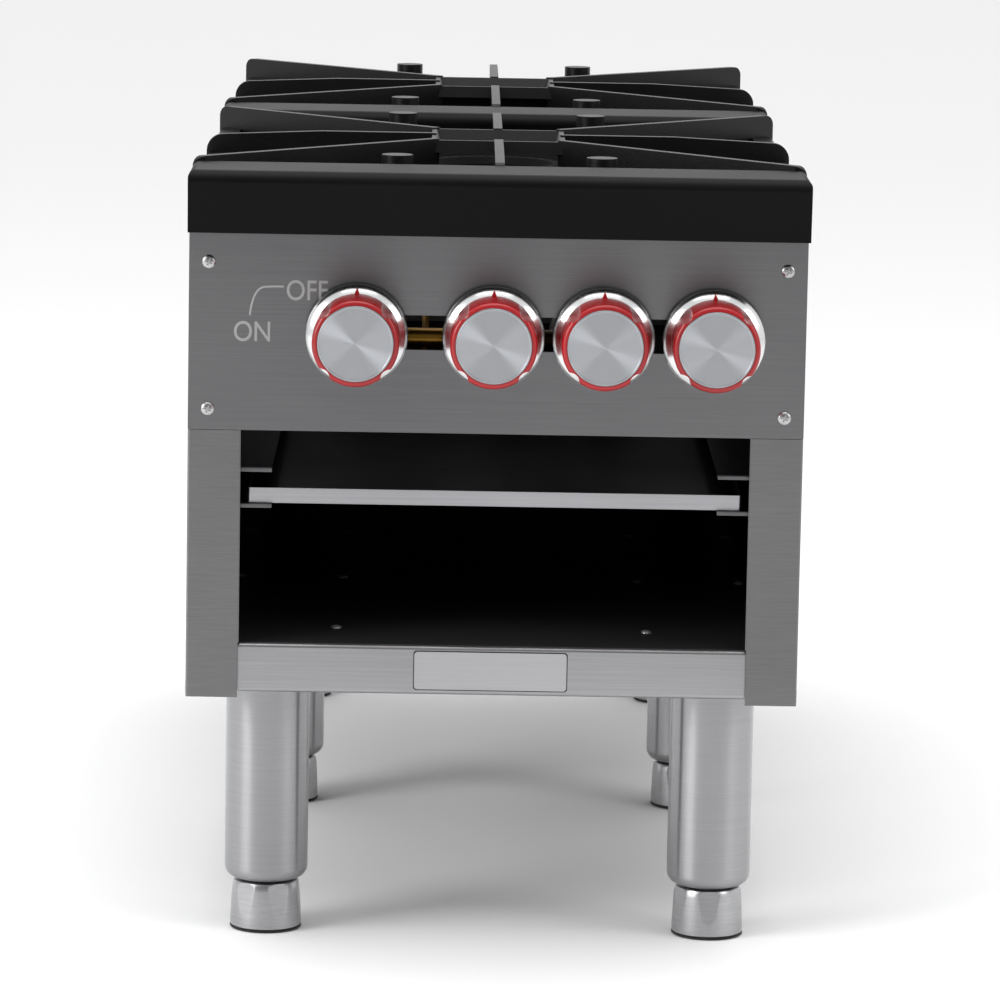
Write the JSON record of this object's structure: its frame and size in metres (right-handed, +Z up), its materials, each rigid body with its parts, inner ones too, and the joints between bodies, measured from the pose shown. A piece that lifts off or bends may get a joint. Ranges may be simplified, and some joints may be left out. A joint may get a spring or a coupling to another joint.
{
  "type": "stock pot range",
  "caption": "Stainless floor range for stock pots, with open burners in a row front to back, cast grates, red knobs, a drip tray over an open base, and adjustable legs.",
  "frame": {"origin": "on the floor, under the middle of the bounding box", "axes": "+Z up, -Y towards the control panel at the front, +X to the right as seen from the front"},
  "size_m": [0.458, 1.162, 0.592],
  "materials": {
    "stainless_sheet": "brushed",
    "stainless_cast": "satin",
    "aluminised_sheet": "matte",
    "cast_iron": "matte",
    "black_paint": "satin",
    "chrome": "polished",
    "brass": "satin",
    "black_pipe": "matte",
    "aluminium": "brushed",
    "red_plastic": "gloss"
  },
  "bodies": {
    "chassis": {"front_panel": "stainless_sheet", "left_side_panel": "stainless_sheet", "right_side_panel": "stainless_sheet", "bottom_shelf": "stainless_sheet", "back_panel": "aluminised_sheet", "left_tray_guide": "aluminised_sheet", "right_tray_guide": "aluminised_sheet", "front_burner_bracket": "aluminised_sheet", "rear_burner_bracket": "aluminised_sheet", "orifice_bracket": "aluminised_sheet", "front_leg_channel": "aluminised_sheet", "middle_leg_channel": "aluminised_sheet", "rear_leg_channel": "aluminised_sheet", "front_rail": "black_paint", "centre_rail": "black_paint", "front_burner_outer": "cast_iron", "front_burner_inner": "cast_iron", "rear_burner_outer": "cast_iron", "rear_burner_inner": "cast_iron", "gas_manifold": "black_pipe", "gas_feed_pipe": "black_pipe", "supply_tube_outer": "aluminium", "supply_tube_inner": "aluminium", "pilot_line_front": "brass", "pilot_line_rear": "brass", "valve_1": "brass", "valve_2": "brass", "valve_3": "brass", "valve_4": "brass", "front_left_leg": "stainless_sheet", "front_right_leg": "stainless_sheet", "middle_left_leg": "stainless_sheet", "middle_right_leg": "stainless_sheet", "rear_left_leg": "stainless_sheet", "rear_right_leg": "stainless_sheet"},
    "knob_1": {"knob_1_stem": "brass", "knob_1_skirt": "chrome", "knob_1_grip": "red_plastic", "knob_1_cap": "aluminium"},
    "knob_2": {"knob_2_stem": "brass", "knob_2_skirt": "chrome", "knob_2_grip": "red_plastic", "knob_2_cap": "aluminium"},
    "knob_3": {"knob_3_stem": "brass", "knob_3_skirt": "chrome", "knob_3_grip": "red_plastic", "knob_3_cap": "aluminium"},
    "knob_4": {"knob_4_stem": "brass", "knob_4_skirt": "chrome", "knob_4_grip": "red_plastic", "knob_4_cap": "aluminium"},
    "front_grate": {"front_grate": "cast_iron"},
    "rear_grate": {"rear_grate": "cast_iron"},
    "drip_tray": {"drip_tray": "stainless_sheet"},
    "front_left_foot": {"front_left_foot": "stainless_cast"},
    "front_right_foot": {"front_right_foot": "stainless_cast"},
    "middle_left_foot": {"middle_left_foot": "stainless_cast"},
    "middle_right_foot": {"middle_right_foot": "stainless_cast"},
    "rear_left_foot": {"rear_left_foot": "stainless_cast"},
    "rear_right_foot": {"rear_right_foot": "stainless_cast"}
  },
  "joints": [
    {"name": "knob_1_turn", "type": "hinge", "parent": "chassis", "child": "knob_1", "pos_m": [-0.104, -0.551, 0.4656], "axis": [0, -1, 0], "range_deg": [0, 90]},
    {"name": "knob_2_turn", "type": "hinge", "parent": "chassis", "child": "knob_2", "pos_m": [-0.003, -0.551, 0.4656], "axis": [0, -1, 0], "range_deg": [0, 90]},
    {"name": "knob_3_turn", "type": "hinge", "parent": "chassis", "child": "knob_3", "pos_m": [0.0785, -0.551, 0.4656], "axis": [0, -1, 0], "range_deg": [0, 90]},
    {"name": "knob_4_turn", "type": "hinge", "parent": "chassis", "child": "knob_4", "pos_m": [0.16, -0.551, 0.4656], "axis": [0, -1, 0], "range_deg": [0, 90]},
    {"name": "drip_tray_slide", "type": "slide", "parent": "chassis", "child": "drip_tray", "axis": [0, -1, 0], "range_m": [0, 0.75]},
    {"name": "front_grate_lift", "type": "slide", "parent": "chassis", "child": "front_grate", "axis": [0, 0, 1], "range_m": [0, 0.12]},
    {"name": "rear_grate_lift", "type": "slide", "parent": "chassis", "child": "rear_grate", "axis": [0, 0, 1], "range_m": [0, 0.12]},
    {"name": "front_left_foot_level", "type": "slide", "parent": "chassis", "child": "front_left_foot", "axis": [0, 0, -1], "range_m": [0, 0.025]},
    {"name": "front_right_foot_level", "type": "slide", "parent": "chassis", "child": "front_right_foot", "axis": [0, 0, -1], "range_m": [0, 0.025]},
    {"name": "middle_left_foot_level", "type": "slide", "parent": "chassis", "child": "middle_left_foot", "axis": [0, 0, -1], "range_m": [0, 0.025]},
    {"name": "middle_right_foot_level", "type": "slide", "parent": "chassis", "child": "middle_right_foot", "axis": [0, 0, -1], "range_m": [0, 0.025]},
    {"name": "rear_left_foot_level", "type": "slide", "parent": "chassis", "child": "rear_left_foot", "axis": [0, 0, -1], "range_m": [0, 0.025]},
    {"name": "rear_right_foot_level", "type": "slide", "parent": "chassis", "child": "rear_right_foot", "axis": [0, 0, -1], "range_m": [0, 0.025]}
  ]
}
